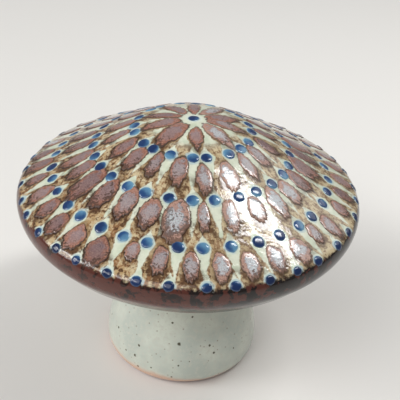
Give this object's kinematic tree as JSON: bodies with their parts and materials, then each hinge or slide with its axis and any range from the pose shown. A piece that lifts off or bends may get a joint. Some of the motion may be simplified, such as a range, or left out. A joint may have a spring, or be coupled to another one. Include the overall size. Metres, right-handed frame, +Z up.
{
  "type": "ceramic mushroom ornament",
  "caption": "Wheel-thrown stoneware mushroom: a domed cap with an in-turned rim and rings of raised slip beads lifts off a hollow flared stem.",
  "frame": {"origin": "middle of the foot, on the plane that the foot ring rests on", "axes": "+Z up along the axis of the stem and cap, -Y towards the side that the picture shows"},
  "size_m": [0.18, 0.18, 0.1459],
  "materials": {
    "pale_glaze": "semi-gloss pale grey glaze with iron specks",
    "brown_glaze": "glossy rust-brown petals over a cream ground",
    "bare_clay": "unglazed stoneware",
    "cobalt_slip": "glossy cobalt"
  },
  "bodies": {
    "stem": {"stem": "pale_glaze"},
    "cap": {"cap_shell": "brown_glaze", "cap_collar": "bare_clay", "crown_bead": "cobalt_slip", "bead_ring_1": "cobalt_slip", "bead_ring_2": "cobalt_slip", "bead_ring_3": "cobalt_slip", "bead_ring_4": "cobalt_slip"}
  },
  "joints": [
    {"name": "cap_lift", "type": "slide", "parent": "stem", "child": "cap", "axis": [0, 0, 1], "range_m": [0, 0.06]}
  ]
}
